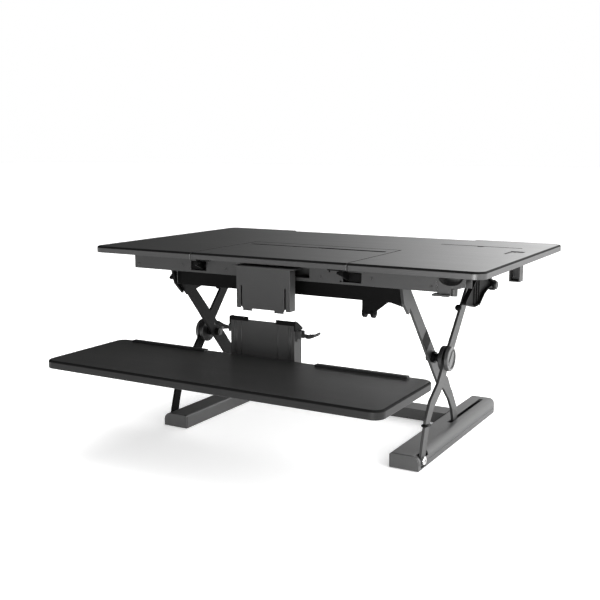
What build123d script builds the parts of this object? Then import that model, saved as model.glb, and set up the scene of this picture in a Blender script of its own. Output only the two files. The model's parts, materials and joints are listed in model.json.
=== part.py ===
"""Standing desk converter: scissor-lift riser with a clip-on keyboard tray.

Millimetres, +X to the user's right, +Y away from the user, +Z up.
The origin is on the table surface, under the middle of the whole object.
The keyboard tray is lowered out of its hanger, ready to be clipped in.
"""

import os
from math import atan2, cos, hypot, radians, sin

from build123d import *

SIDES = {"left": -1, "right": 1}

# Desktop board
DESK_W = 950.0
DESK_DEPTH = 588.0
DESK_T = 15.0
DESK_TOP = 434.0
DESK_UNDER = DESK_TOP - DESK_T
DESK_CORNER_R = 22.0
DESK_EDGE_R = 5.0
NOTCH_W = 526.0
NOTCH_DEPTH = 25.0

# Tilting middle panel, and the slots in the boards
PANEL_W = 384.0
PANEL_DEPTH = 268.0
PANEL_GAP = 1.5
SEAM_CHAMFER = 1.2
GROOVE_W = 8.0
GROOVE_DEPTH = 9.0

# Keyboard tray
TRAY_W = 776.0
TRAY_DEPTH = 248.0
TRAY_T = 18.0
TRAY_TOP = 222.0
TRAY_CORNER_R = 22.0

# Fore-and-aft datum: the desktop's front edge and the tray's front edge
FRONT = -166.0
TRAY_FRONT = -(FRONT + DESK_DEPTH)
TRAY_REAR = TRAY_FRONT + TRAY_DEPTH

# Feet
FOOT_IN = 262.5
FOOT_W = 66.0
FOOT_H = 31.0
FOOT_FRONT = FRONT + 66.0
FOOT_LENGTH = 514.0
FOOT_WALL = 2.5
FOOT_ROUND = 17.0
FOOT_CORNER_R = 20.0
CAP_T = 3.0
REAR_CAP_T = 22.0
PAD_T = 2.0
FOOT_LINE_Z = (13.6, 15.6)
FOOT_TOP = PAD_T + FOOT_H
SLOT_W = 10.0

# Scissor linkage, seen from the side: (y, z) steps from the middle pivot
HUB_Y = FRONT + 231.0
LOW_PIVOT_Z = 17.5
LOW_RUN = 135.0
LOW_RISE = 190.0
TOP_RUN = 170.5
TOP_RISE = 192.5
HUB_Z = LOW_PIVOT_Z + LOW_RISE
TOP_PIVOT_Z = HUB_Z + TOP_RISE
OUTER_LOW_Y = HUB_Y - LOW_RUN
OUTER_TOP_Y = HUB_Y + TOP_RUN
INNER_LOW_Y = HUB_Y + LOW_RUN
INNER_TOP_Y = HUB_Y - TOP_RUN

# Leg plates
LEG_T = 6.0
OUTER_X = 320.0
INNER_X = 293.0
INNER_TOP_X = 284.0
JOGGLE_Z = (62.0, 112.0)
OUTER_W = 28.0
OUTER_TOP_W = 31.0
INNER_W = 34.0
FOOT_END_R = 12.0
# Bends between the low pivot and the middle: lean, rise, share of the full width
LEG_BENDS = ((13.0, 46.0, 0.80), (24.0, 78.0, 0.86), (46.0, 109.0, 0.94), (88.0, 136.0, 1.0))
PIVOT_R = 6.0
RUNNING = 0.05

# Glides and rails
GLIDE_L = 30.0
GLIDE_T = 11.0
RAIL_H = 34.0
RAIL_WALL = 2.5
RAIL_GAP = 0.3

# Cross members
CROSSBAR_H = 32.0
CROSSBAR_D = 20.0
BASE_BAR_Y = FRONT + 422.0
BASE_BAR_D = 50.0
APRON_HALF = 373.0
APRON_Y = FRONT + 28.0
APRON_BOTTOM = 386.0
SHEET = 2.5

# Tray fixing
HANGER_HALF = 66.0
HANGER_Y = FRONT - 8.0
HANGER_DEPTH = 22.0
HANGER_BOTTOM = 324.0
DOCK_HALF = 79.0
DOCK_Y = FRONT - 12.0
DOCK_DEPTH = 30.0
DOCK_TOP = 300.0
LATCH_Y = FRONT + 4.0
LATCH_Z = 281.0
LATCH_PAD_W = 22.0

# Release handles
HANDLE_X = 379.0
HANDLE_T = 10.0
HANDLE_RIM = 2.6
HANDLE_PIVOT_Y = FRONT + 356.0
HANDLE_PIVOT_Z = 358.0

# Traction gas struts
STRUT_X = 120.0
STRUT_R = 9.0
STRUT_BEAM_Y = FRONT + 135.0
STRUT_BODY_END = FRONT + 318.0


def block(x0, x1, y0, y1, z0, z1):
    """A box from its lowest to its highest corner."""
    low = (min(x0, x1), min(y0, y1), min(z0, z1))
    return Pos(*low) * Box(
        abs(x1 - x0), abs(y1 - y0), abs(z1 - z0), align=(Align.MIN, Align.MIN, Align.MIN)
    )


def rod_x(x0, x1, y, z, r):
    """A round bar along X."""
    middle = (x0 + x1) / 2
    return Pos(middle, y, z) * Rot(0, 90, 0) * Cylinder(r, abs(x1 - x0))


def rod_y(y0, y1, x, z, r):
    """A round bar along Y."""
    return Pos(x, (y0 + y1) / 2, z) * Rot(90, 0, 0) * Cylinder(r, abs(y1 - y0))


def rod_z(z0, z1, x, y, r):
    """A round bar along Z."""
    return Pos(x, y, (z0 + z1) / 2) * Cylinder(r, abs(z1 - z0))


def side_plate(x0, x1, points, rounding=None, inset=0.0):
    """A plate in the YZ plane between two X values, rounded, then shrunk by inset."""
    wire = Polyline(*[(y, z) for y, z in points], close=True)
    face = make_face(wire)
    if rounding:
        face = fillet(face.vertices(), rounding)
    if inset:
        face = offset(face, -inset)
    plane = Plane(origin=(min(x0, x1), 0, 0), x_dir=(0, 1, 0), z_dir=(1, 0, 0))
    return extrude(plane * face, abs(x1 - x0))


def front_plate(y0, y1, points, rounding=None):
    """A plate in the XZ plane between two Y values, with its corners rounded."""
    face = make_face(Polyline(*points, close=True))
    if rounding:
        face = fillet(face.vertices(), rounding)
    plane = Plane(origin=(0, max(y0, y1), 0), x_dir=(1, 0, 0), z_dir=(0, -1, 0))
    return extrude(plane * face, abs(y1 - y0))


def mirrored(side, solid):
    """The solid as made for the right side, or its mirror image on the left."""
    return solid if side > 0 else mirror(solid, Plane.YZ)


def board(width, y0, y1, top, thick, corner):
    """A flat board with rounded plan corners."""
    outline = RectangleRounded(width, y1 - y0, corner)
    return extrude(Pos(0, (y0 + y1) / 2, top - thick) * outline, thick)


def ease_outer_edges(solid, z, radius, inside):
    """Rounds the edges at height z that lie on the outline, not in a cut-out."""
    picked = [
        e
        for e in solid.edges()
        if abs(e.center().Z - z) < 1e-3 and abs(e.bounding_box().size.Z) < 1e-3 and not inside(e)
    ]
    return fillet(picked, radius)


# ---------------------------------------------------------------- desktop


def groove(x0, x1, y, width=GROOVE_W):
    """A blind slot for a phone or tablet, round at both ends."""
    floor = DESK_TOP - GROOVE_DEPTH
    return extrude(Pos((x0 + x1) / 2, y, floor) * SlotOverall(x1 - x0, width), 20)


def seam_edges(solid, half, rear):
    """The top edges along the seams between the middle panel and the desktop."""
    return [
        e
        for e in solid.edges()
        if abs(e.center().Z - DESK_TOP) < 1e-3
        and (
            (abs(abs(e.center().X) - half) < 1e-3 and e.length > PANEL_DEPTH / 2)
            or (abs(e.center().Y - rear) < 1e-3 and e.length > PANEL_W / 2)
        )
    ]


PHONE_SLOT_Y = FRONT + 439.0
PHONE_SLOT_X = (222.0, 420.0)
PHONE_NOTCH_X = 323.0
INSET_X = (414.0, 446.0)
INSET_Y = (FRONT + 312.0, FRONT + 373.0)
INSET_DEPTH = 6.0
TABLET_SLOT_Y = FRONT + 221.0
TABLET_SLOT_HALF = 178.0
TABLET_SLOT_WIDE = 16.0
TABLET_SLOT_NARROW = 10.0


def main_desktop():
    rear = FRONT + DESK_DEPTH
    top = board(DESK_W, FRONT, rear, DESK_TOP, DESK_T, DESK_CORNER_R)
    top = ease_outer_edges(top, DESK_TOP, DESK_EDGE_R, lambda e: False)
    bay = block(
        -PANEL_W / 2 - PANEL_GAP,
        PANEL_W / 2 + PANEL_GAP,
        FRONT - 10,
        FRONT + PANEL_DEPTH + PANEL_GAP,
        DESK_UNDER - 1,
        DESK_TOP + 1,
    )
    notch = extrude(
        Pos(0, rear, DESK_UNDER - 1) * RectangleRounded(NOTCH_W, 2 * NOTCH_DEPTH, 8), DESK_T + 2
    )
    phone = groove(*PHONE_SLOT_X, PHONE_SLOT_Y)
    thumb = rod_z(DESK_TOP - GROOVE_DEPTH, DESK_TOP + 1, PHONE_NOTCH_X, PHONE_SLOT_Y - 4, 9)
    inset = block(*INSET_X, *INSET_Y, DESK_TOP - INSET_DEPTH, DESK_TOP + 1)
    top -= bay
    seams = seam_edges(top, PANEL_W / 2 + PANEL_GAP, FRONT + PANEL_DEPTH + PANEL_GAP)
    top = chamfer(seams, SEAM_CHAMFER)
    return top - notch - phone - thumb - inset


def inset_cover():
    """A lift-out cover that fills the small rectangular recess."""
    gap = 1.8
    cover = block(
        INSET_X[0] + gap,
        INSET_X[1] - gap,
        INSET_Y[0] + gap,
        INSET_Y[1] - gap,
        DESK_TOP - INSET_DEPTH,
        DESK_TOP - 1.4,
    )
    finger = rod_z(DESK_TOP - 3, DESK_TOP + 1, INSET_X[0] + 10, INSET_Y[1] - 8, 3)
    return cover - finger


def tilting_panel():
    panel = block(
        -PANEL_W / 2, PANEL_W / 2, FRONT, FRONT + PANEL_DEPTH, DESK_UNDER + 0.3, DESK_TOP
    )
    front_top = [
        e
        for e in panel.edges()
        if abs(e.center().Z - DESK_TOP) < 1e-3 and abs(e.center().Y - FRONT) < 1e-3
    ]
    panel = fillet(front_top, DESK_EDGE_R)
    rear = [
        e
        for e in panel.edges()
        if abs(e.center().Y - FRONT - PANEL_DEPTH) < 1e-3
        and abs(e.center().Z - DESK_UNDER - 0.3) < 1e-3
    ]
    panel = chamfer(rear, 3)
    panel = chamfer(seam_edges(panel, PANEL_W / 2, FRONT + PANEL_DEPTH), SEAM_CHAMFER)
    narrow = groove(-TABLET_SLOT_HALF, TABLET_SLOT_HALF, TABLET_SLOT_Y, TABLET_SLOT_NARROW)
    wide = groove(0, TABLET_SLOT_HALF, TABLET_SLOT_Y, TABLET_SLOT_WIDE)
    return panel - narrow - wide


HINGE_X = 178.0
HINGE_Z = 412.0
HINGE_Y = FRONT + 5.0
HINGE_R = 3.0
EAR_T = 4.0
LEAF_T = 2.5


def panel_hinge_leaf(side):
    """The leaf screwed under the tilting panel, with the ear that turns on the pin."""
    x0 = HINGE_X - EAR_T
    top = DESK_UNDER + RAIL_GAP
    leaf = block(x0 - 26, x0 + EAR_T, HINGE_Y - 4, APRON_Y - 2, top - LEAF_T, top)
    ear = block(x0, x0 + EAR_T, HINGE_Y - 4, HINGE_Y + 4, HINGE_Z, top - LEAF_T)
    barrel = rod_x(x0, x0 + EAR_T, HINGE_Y, HINGE_Z, HINGE_R + 2)
    hole = rod_x(x0 - 1, x0 + EAR_T + 1, HINGE_Y, HINGE_Z, HINGE_R + RUNNING)
    return mirrored(side, leaf + ear + barrel - hole)


def panel_hinge_base(side):
    """The fixed half: an arm out through the apron's window, and the hinge pin."""
    x0 = HINGE_X + 0.6
    arm = side_plate(
        x0,
        x0 + EAR_T,
        [
            (APRON_Y + SHEET, APRON_BOTTOM + 7),
            (APRON_Y + SHEET, HINGE_Z - 2),
            (HINGE_Y + 10, HINGE_Z + 3),
            (HINGE_Y - 4, HINGE_Z + 4),
            (HINGE_Y - 4, HINGE_Z - 5),
        ],
    )
    flange = block(
        x0, APRON_WINDOW[1] + 12, APRON_Y + SHEET, APRON_Y + 2 * SHEET,
        APRON_BOTTOM + 7, HINGE_Z - 2,
    )
    pin = rod_x(HINGE_X - EAR_T - 5, x0 + EAR_T, HINGE_Y, HINGE_Z, HINGE_R)
    return mirrored(side, arm + flange + pin)


def panel_rest_strip(side):
    """The ledge under the side seam that the panel's edge lies on."""
    x0 = PANEL_W / 2 - 10
    strip = block(x0, x0 + 42, FRONT + 165, FRONT + 262, DESK_UNDER - 2.5, DESK_UNDER)
    return mirrored(side, strip)


# ---------------------------------------------------------------- apron and beams


APRON_WINDOW = (170.0, 212.0)
APRON_WEB_HALF = 272.0
APRON_WEB_Y = FRONT + 68.0


def front_apron():
    """The folded steel front beam, with a window for each panel hinge and the hanger."""
    face = block(-APRON_HALF, APRON_HALF, APRON_Y, APRON_Y + SHEET, APRON_BOTTOM, DESK_UNDER)
    lower = block(
        -APRON_HALF, APRON_HALF, APRON_Y, APRON_Y + 16, APRON_BOTTOM, APRON_BOTTOM + SHEET
    )
    top = block(-APRON_HALF, -PANEL_W / 2 - 8, APRON_Y, APRON_Y + 11, DESK_UNDER - SHEET, DESK_UNDER)
    beam = face + lower + top + mirror(top, Plane.YZ)
    beam += block(
        -APRON_WEB_HALF, APRON_WEB_HALF, APRON_Y, APRON_WEB_Y, APRON_BOTTOM, APRON_BOTTOM + SHEET
    )
    beam += block(
        -APRON_WEB_HALF, APRON_WEB_HALF, APRON_WEB_Y - SHEET, APRON_WEB_Y, APRON_BOTTOM,
        DESK_UNDER - 3,
    )
    for side in SIDES.values():
        beam -= block(
            side * APRON_WINDOW[0],
            side * APRON_WINDOW[1],
            APRON_Y - 1,
            APRON_Y + SHEET,
            APRON_BOTTOM + 5,
            DESK_UNDER - 7,
        )
    beam -= block(
        -HANGER_HALF + 4, HANGER_HALF + 26, APRON_Y - 1, APRON_Y + SHEET, APRON_BOTTOM + 7, 413
    )
    beam -= block(
        -PANEL_W / 2 - 2, PANEL_W / 2 + 2, APRON_Y - 1, APRON_Y + SHEET + 1, DESK_UNDER - 1, 420
    )
    for x, z in ((139.0, 411.0), (160.0, 408.5), (165.0, 392.0)):
        beam -= rod_y(APRON_Y - 1, APRON_Y + SHEET + 1, x, z, 2)
    return beam


def apron_end_bracket():
    """The dished bracket at the apron's right end, braced back to the desktop."""
    x0 = APRON_HALF + 1
    y0 = APRON_Y
    face = front_plate(
        y0,
        y0 + SHEET,
        [
            (x0, 383),
            (x0 + 26, 383),
            (x0 + 34, 392),
            (x0 + 56, 399),
            (x0 + 56, DESK_UNDER),
            (x0, DESK_UNDER),
        ],
    )
    dish = Pos(x0 + 26, y0 + SHEET / 2, DESK_UNDER + 2) * Rot(90, 0, 0)
    face -= extrude(dish * Ellipse(27, 21), SHEET, both=True)
    back = block(x0, x0 + 56, y0 + 38, y0 + 38 + SHEET, 392, DESK_UNDER)
    side = block(x0, x0 + SHEET, y0, y0 + 40, 383, DESK_UNDER)
    tab = block(x0 - 8, x0 + 25, y0 - 7, y0 + 12, 379, 383)
    tab -= block(x0 + 7, x0 + 12, y0 - 8, y0 - 4, 378, 384)
    strap = side_plate(
        x0 + 40,
        x0 + 44,
        [(y0, 396), (y0, 402), (y0 + 38, DESK_UNDER), (y0 + 60, DESK_UNDER), (y0 + 24, 396)],
    )
    roof = block(x0 + 30, x0 + 56, y0 + 38, y0 + 62, DESK_UNDER - SHEET, DESK_UNDER)
    knob = rod_z(380, 394, x0 + 33, y0 + 5, 6.5) + rod_z(394, 400, x0 + 33, y0 + 5, 3)
    return face + back + side + tab + strap + roof + knob


def strut_beam():
    """The channel across the underside that anchors both gas struts."""
    half = PANEL_W / 2 + 42
    outer = block(-half, half, STRUT_BEAM_Y - 10, STRUT_BEAM_Y + 10, 388, DESK_UNDER - 3)
    inner = block(-half - 1, half + 1, STRUT_BEAM_Y - 7.5, STRUT_BEAM_Y + 7.5, 387, DESK_UNDER - 5.5)
    beam = outer - inner
    for side in SIDES.values():
        beam += block(
            side * (PANEL_W / 2 + 6), side * half, STRUT_BEAM_Y - 24, STRUT_BEAM_Y + 24,
            DESK_UNDER - 3, DESK_UNDER,
        )
        beam += block(
            side * STRUT_X - 12, side * STRUT_X + 12, STRUT_BEAM_Y - 8, STRUT_BEAM_Y + 8, 391, 409,
        )
    return beam


BRACKET_X = (379.0, 405.0)
BRACKET_Y = (FRONT + 478.0, FRONT + 505.0)
BRACKET_BOTTOM = 350.0


def cable_bracket(side):
    """The open-fronted channel that hangs near each rear corner and guides cables."""
    outer = block(*BRACKET_X, *BRACKET_Y, BRACKET_BOTTOM, DESK_UNDER)
    inner = block(
        BRACKET_X[0] + SHEET,
        BRACKET_X[1] - SHEET,
        BRACKET_Y[0] - 1,
        BRACKET_Y[1] - SHEET,
        BRACKET_BOTTOM + SHEET,
        DESK_UNDER - SHEET,
    )
    return mirrored(side, outer - inner)


# ---------------------------------------------------------------- base


def foot(side):
    """A hollow steel channel: rounded outer shoulder, glide slot, and a leg notch."""
    x0, x1 = FOOT_IN, FOOT_IN + FOOT_W
    y0, y1 = FOOT_FRONT + CAP_T, FOOT_FRONT + FOOT_LENGTH - REAR_CAP_T
    shell = foot_profile(0.0, y0, y1)
    hollow = foot_profile(FOOT_WALL, y0 - 1, y1 + 1)
    body = shell - hollow
    slot_start = INNER_LOW_Y - 38
    slot_end = INNER_LOW_Y + 190
    body -= block(
        INNER_X + LEG_T / 2 - SLOT_W / 2,
        INNER_X + LEG_T / 2 + SLOT_W / 2,
        slot_start,
        slot_end,
        FOOT_TOP - FOOT_WALL - 1,
        FOOT_TOP + 1,
    )
    y = OUTER_LOW_Y
    leg_way = [(y - 17, 4.5), (y + 15, 4.5), (y + 34, FOOT_TOP + 1), (y - 17, FOOT_TOP + 1)]
    body -= side_plate(OUTER_X - 3, OUTER_X + LEG_T + 1, leg_way)
    body -= block(OUTER_X, x1 + 1, y - 17, y + 11, 4.5, FOOT_TOP + 1)
    body -= block(x1 - 0.8, x1 + 1, y0 - 1, y1 + 1, *FOOT_LINE_Z)
    block_in = block(
        OUTER_X - 15, OUTER_X - 3, OUTER_LOW_Y - 17, OUTER_LOW_Y + 17, PAD_T + 1, FOOT_TOP - 1
    )
    body += block_in
    body -= rod_x(OUTER_X - 16, OUTER_X - 2, OUTER_LOW_Y, LOW_PIVOT_Z, PIVOT_R)
    return mirrored(side, body)


def foot_profile(inset, y0, y1):
    """The foot's closed section, shrunk by inset, extruded from y0 to y1."""
    left, right = FOOT_IN + inset, FOOT_IN + FOOT_W - inset
    low, high = PAD_T + inset, FOOT_TOP - inset
    face = make_face(Polyline((left, low), (right, low), (right, high), (left, high), close=True))
    outer_top = face.vertices().sort_by(lambda v: v.X + v.Y)[-1]
    face = fillet(outer_top, FOOT_ROUND - inset)
    inner_top = [v for v in face.vertices() if abs(v.X - left) < 1e-3 and abs(v.Y - high) < 1e-3]
    face = fillet(inner_top, max(4 - inset, 1))
    plane = Plane(origin=(0, y0, 0), x_dir=(1, 0, 0), z_dir=(0, -1, 0))
    return extrude(plane * face, -(y1 - y0))


def foot_front_cap(side):
    """A plastic end plate with a spigot that plugs into the foot."""
    y0, y1 = FOOT_FRONT, FOOT_FRONT + CAP_T
    plate = foot_profile(0.0, y0, y1) + foot_profile(FOOT_WALL + 0.2, y1, y1 + 5)
    return mirrored(side, plate)


def foot_rear_cap(side):
    """The deeper plastic end, round at its outer corner, that plugs into the foot."""
    y1 = FOOT_FRONT + FOOT_LENGTH
    y0 = y1 - REAR_CAP_T
    shell = foot_profile(0.0, y0, y1)
    plan = block(FOOT_IN, FOOT_IN + FOOT_W, y0 - 10, y1, 0, FOOT_TOP + 1)
    upright = [
        e
        for e in plan.edges().filter_by(Axis.Z)
        if abs(e.center().Y - y1) < 1e-3 and e.center().X > FOOT_IN + FOOT_W / 2
    ]
    plan = fillet(upright, FOOT_CORNER_R)
    shell = shell & plan
    plug = foot_profile(FOOT_WALL + 0.2, y0 - 8, y0)
    return mirrored(side, shell + plug)


def foot_pads(side):
    """Two rubber strips under each foot."""
    x0 = FOOT_IN + 10
    x1 = FOOT_IN + FOOT_W - 10
    pads = [
        block(x0, x1, y, y + 80, 0, PAD_T)
        for y in (FOOT_FRONT + 15, FOOT_FRONT + FOOT_LENGTH - 95)
    ]
    return Compound([mirrored(side, pad) for pad in pads])


def base_crossbar():
    """The flat hollow bar that ties the two feet together."""
    outer = block(
        -FOOT_IN, FOOT_IN, BASE_BAR_Y - BASE_BAR_D / 2, BASE_BAR_Y + BASE_BAR_D / 2, 4, FOOT_TOP - 1
    )
    inner = block(
        -FOOT_IN + 2, FOOT_IN - 2,
        BASE_BAR_Y - BASE_BAR_D / 2 + 2, BASE_BAR_Y + BASE_BAR_D / 2 - 2, 6, FOOT_TOP - 3,
    )
    lip = block(
        -FOOT_IN, FOOT_IN, BASE_BAR_Y - BASE_BAR_D / 2 - 4, BASE_BAR_Y - BASE_BAR_D / 2 + 1,
        FOOT_TOP - 3.5, FOOT_TOP - 1,
    )
    return outer - inner + lip


def lower_pivot_bolt(side):
    """The shoulder bolt that the outer leg turns on, with a domed head outside."""
    shank = rod_x(OUTER_X - 15, OUTER_X + LEG_T + 0.5, OUTER_LOW_Y, LOW_PIVOT_Z, PIVOT_R)
    head_x = OUTER_X + LEG_T + 0.5
    head = rod_x(head_x, head_x + 5, OUTER_LOW_Y, LOW_PIVOT_Z, 9)
    rim = [e for e in head.edges() if abs(e.center().X - head_x - 5) < 1e-3]
    head = fillet(rim, 2.5)
    socket = rod_x(head_x + 2.5, head_x + 6, OUTER_LOW_Y, LOW_PIVOT_Z, 3)
    return mirrored(side, shank + head - socket)


# ---------------------------------------------------------------- legs


def leg_outline(direction, width, end_r, top_width):
    """A leg's side outline for the right-hand lean, as a list of overlapping runs.

    direction is +1 for the outer leg, whose foot is in front of the middle pivot,
    and -1 for the inner leg, its mirror image.
    """
    hub = (HUB_Y, HUB_Z)
    start = (HUB_Y - direction * LOW_RUN, LOW_PIVOT_Z)
    top = (HUB_Y + direction * TOP_RUN, TOP_PIVOT_Z)
    stops = [(start, end_r)]
    for lean, rise, share in LEG_BENDS:
        stops.append(((start[0] + direction * lean, start[1] + rise), share * width / 2))
    stops.append((hub, width / 2))
    runs = [(a, b, ra, rb) for (a, ra), (b, rb) in zip(stops, stops[1:])]
    return runs + [(hub, top, top_width / 2, end_r)]


def tapered_run(x0, x1, a, b, ra, rb):
    """A flat link between two round ends of different radius."""
    length = hypot(b[0] - a[0], b[1] - a[1])
    turn = atan2(b[1] - a[1], b[0] - a[0])
    spread = (ra - rb) / length
    lean = radians(90) if abs(spread) < 1e-9 else radians(90) - spread
    up, down = turn + lean, turn - lean
    points = [
        (a[0] + ra * cos(up), a[1] + ra * sin(up)),
        (b[0] + rb * cos(up), b[1] + rb * sin(up)),
        (b[0] + rb * cos(down), b[1] + rb * sin(down)),
        (a[0] + ra * cos(down), a[1] + ra * sin(down)),
    ]
    link = side_plate(x0, x1, points)
    link += rod_x(x0, x1, a[0], a[1], ra)
    link += rod_x(x0, x1, b[0], b[1], rb)
    return link


def leg_plate(x0, x1, outline):
    """The leg's whole side outline, between two X values."""
    runs = [tapered_run(x0, x1, a, b, ra, rb) for a, b, ra, rb in outline]
    plate = runs[0]
    for run in runs[1:]:
        plate += run
    return plate


def drill(plate, x0, x1, holes):
    for y, z, r in holes:
        plate -= rod_x(x0, x1, y, z, r)
    return plate


HUB_PIN_R = 5.0
SLEEVE_R = 11.0
DISC_R = 28.0


def outer_leg(side):
    holes = [
        (OUTER_LOW_Y, LOW_PIVOT_Z, PIVOT_R + RUNNING),
        (OUTER_TOP_Y, TOP_PIVOT_Z, PIVOT_R + RUNNING),
        (HUB_Y, HUB_Z, HUB_PIN_R),
    ]
    outline = leg_outline(1, OUTER_W, FOOT_END_R, OUTER_TOP_W)
    plate = leg_plate(OUTER_X, OUTER_X + LEG_T, outline)
    return mirrored(side, drill(plate, OUTER_X - 1, OUTER_X + LEG_T + 1, holes))


def inner_leg(side):
    """The leg whose plate steps inwards between the foot and the middle pivot."""
    holes = [
        (INNER_LOW_Y, LOW_PIVOT_Z, PIVOT_R + RUNNING),
        (INNER_TOP_Y, TOP_PIVOT_Z, PIVOT_R + RUNNING),
        (HUB_Y, HUB_Z, HUB_PIN_R + RUNNING),
    ]
    y, z = INNER_TOP_Y, TOP_PIVOT_Z
    head = side_plate(
        INNER_TOP_X,
        INNER_TOP_X + LEG_T,
        [
            (y - 11, z - 4),
            (y - 3, z - 23),
            (y + 5, z - 50),
            (y + 32, z - 76),
            (y + 50, z - 40),
            (y + 14, z + 2),
        ],
    )
    outline = leg_outline(-1, INNER_W, FOOT_END_R, INNER_W)
    plate = leg_plate(INNER_TOP_X, INNER_X + LEG_T, outline) & leg_joggle()
    plate = drill(plate + head, INNER_TOP_X - 1, INNER_X + LEG_T + 1, holes)
    return mirrored(side, plate)


def leg_joggle():
    """The inner leg's thickness seen from the front: one plate with a step in it."""
    low, high = JOGGLE_Z
    return front_plate(
        FRONT,
        FRONT + DESK_DEPTH,
        [
            (INNER_X, 0),
            (INNER_X + LEG_T, 0),
            (INNER_X + LEG_T, low),
            (INNER_TOP_X + LEG_T, high),
            (INNER_TOP_X + LEG_T, DESK_TOP),
            (INNER_TOP_X, DESK_TOP),
            (INNER_TOP_X, high),
            (INNER_X, low),
        ],
    )


def hub_pin(side):
    """The bolt through both legs, with a hexagon nut on the inside."""
    shank = rod_x(INNER_TOP_X - 9, OUTER_X + LEG_T, HUB_Y, HUB_Z, HUB_PIN_R)
    plane = Plane(origin=(INNER_TOP_X - 8, HUB_Y, HUB_Z), x_dir=(0, 1, 0), z_dir=(1, 0, 0))
    nut = extrude(plane * RegularPolygon(10, 6), 7.6)
    return mirrored(side, shank + nut)


def hub_sleeve(side):
    """The stepped spacer that keeps the two legs apart at the middle pivot."""
    x0, x1 = INNER_TOP_X + LEG_T + 0.3, OUTER_X - 9
    tube = rod_x(x0, x1, HUB_Y, HUB_Z, SLEEVE_R - 3)
    tube += rod_x(x0, x0 + 6, HUB_Y, HUB_Z, SLEEVE_R + 1.5)
    tube += rod_x(x0 + 12, x1, HUB_Y, HUB_Z, SLEEVE_R)
    bore = rod_x(x0 - 1, x1 + 1, HUB_Y, HUB_Z, HUB_PIN_R)
    return mirrored(side, tube - bore)


def hub_inner_disc(side):
    """The black friction disc on the inside of the outer leg."""
    disc = rod_x(OUTER_X - 9, OUTER_X, HUB_Y, HUB_Z, DISC_R)
    rims = [e for e in disc.edges() if abs(e.center().X - OUTER_X + 9) < 1e-3]
    disc = fillet(rims, 2)
    bore = rod_x(OUTER_X - 10, OUTER_X + 1, HUB_Y, HUB_Z, HUB_PIN_R)
    return mirrored(side, disc - bore)


def hub_cap(side):
    """The round outer cover, with a raised long oval in its dished face."""
    x0 = OUTER_X + LEG_T
    cap = rod_x(x0, x0 + 8, HUB_Y, HUB_Z, DISC_R - 1)
    rims = [e for e in cap.edges() if abs(e.center().X - x0 - 8) < 1e-3]
    cap = fillet(rims, 2)
    cap -= rod_x(x0 + 6, x0 + 9, HUB_Y, HUB_Z, DISC_R - 7)
    plane = Plane(origin=(x0 + 5.5, HUB_Y, HUB_Z), x_dir=(0, 1, 0), z_dir=(1, 0, 0))
    cap += extrude(plane * Rot(0, 0, 48) * SlotOverall(38, 13), 2.0)
    return mirrored(side, cap)


CROSSBAR_Y = INNER_TOP_Y + 20.0
CROSSBAR_Z = TOP_PIVOT_Z - 35.0
GUSSETS = {-1: (64.0, 40.0), 1: (30.0, 14.0)}
DAMPER_X = (196.0, 216.0)
DAMPER_R = 11.0
DAMPER_DROP = 26.0


def inner_top_crossbar():
    """The tube welded between the inner legs, just under their top pivots."""
    half = INNER_TOP_X
    y0, y1 = CROSSBAR_Y - CROSSBAR_D / 2, CROSSBAR_Y + CROSSBAR_D / 2
    z0, z1 = CROSSBAR_Z - CROSSBAR_H / 2, CROSSBAR_Z + CROSSBAR_H / 2
    bar = block(-half, half, y0, y1, z0, z1)
    bar -= block(-half + 3, half - 3, y0 + 2, y1 - 2, z0 + 2, z1 - 2)
    return bar


def leg_gusset(side):
    """The triangular brace between the inner leg and the crossbar, lying along the leg."""
    z0 = CROSSBAR_Z - CROSSBAR_H / 2
    width, length = GUSSETS[side]
    x = INNER_TOP_X
    face = make_face(Polyline((x, 0), (x - width, 0), (x, length), close=True))
    across = (0, TOP_RISE, TOP_RUN)
    plane = Plane(origin=(0, CROSSBAR_Y - 2, z0), x_dir=(1, 0, 0), z_dir=across)
    plate = extrude(plane * face, 1.5, both=True)
    bar = block(
        0, INNER_TOP_X, CROSSBAR_Y - CROSSBAR_D / 2, CROSSBAR_Y + CROSSBAR_D / 2,
        z0, z0 + CROSSBAR_H,
    )
    return mirrored(side, plate - bar)


def damper_bracket():
    """The clevis on the crossbar, with two round ears, a pin and a side brace."""
    z0 = CROSSBAR_Z - CROSSBAR_H / 2
    z = z0 - DAMPER_DROP
    bracket = rod_x(DAMPER_X[0] - 6, DAMPER_X[1] + 6, CROSSBAR_Y, z, 4)
    for x in DAMPER_X:
        bracket += rod_x(x - 3, x + 3, CROSSBAR_Y, z, DAMPER_R)
        bracket += block(x - 3, x + 3, CROSSBAR_Y - 9, CROSSBAR_Y + 9, z, z0)
    bracket += front_plate(
        CROSSBAR_Y - 9,
        CROSSBAR_Y - 6,
        [(DAMPER_X[0] - 3, z0), (DAMPER_X[1] + 36, z0), (DAMPER_X[1] + 3, z), (DAMPER_X[0] - 3, z)],
    )
    return bracket


def glide(side, x0, y, z, height):
    """A nylon block that slides in a channel and turns on the axle end."""
    body = block(x0, x0 + GLIDE_T, y - GLIDE_L / 2, y + GLIDE_L / 2, z - height / 2, z + height / 2)
    ends = body.edges().filter_by(Axis.X)
    body = fillet(ends, 4)
    body -= rod_x(x0 - 1, x0 + GLIDE_T + 1, y, z, PIVOT_R)
    return mirrored(side, body)


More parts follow.
